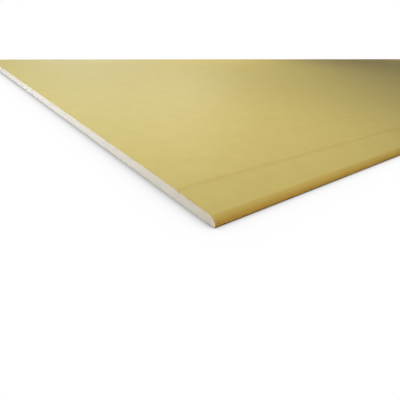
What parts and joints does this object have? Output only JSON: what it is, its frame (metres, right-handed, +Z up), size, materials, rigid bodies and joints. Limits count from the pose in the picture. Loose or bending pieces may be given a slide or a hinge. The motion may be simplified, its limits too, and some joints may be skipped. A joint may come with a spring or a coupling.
{
  "type": "drywall sheet",
  "caption": "Paper-faced gypsum board with recessed half-round long edges wrapped in yellow face paper and square-cut ends that show the white core.",
  "frame": {"origin": "middle of the sheet's back, on the floor it lies on", "axes": "+X along the long edges, +Y across the sheet, +Z up through the face"},
  "size_m": [2.7, 0.9, 0.0125],
  "materials": {
    "gypsum": "matte",
    "face_paper": "matte",
    "back_paper": "matte"
  },
  "bodies": {
    "root": {"gypsum_core": "gypsum", "face_paper": "face_paper", "back_paper": "back_paper"}
  },
  "joints": []
}
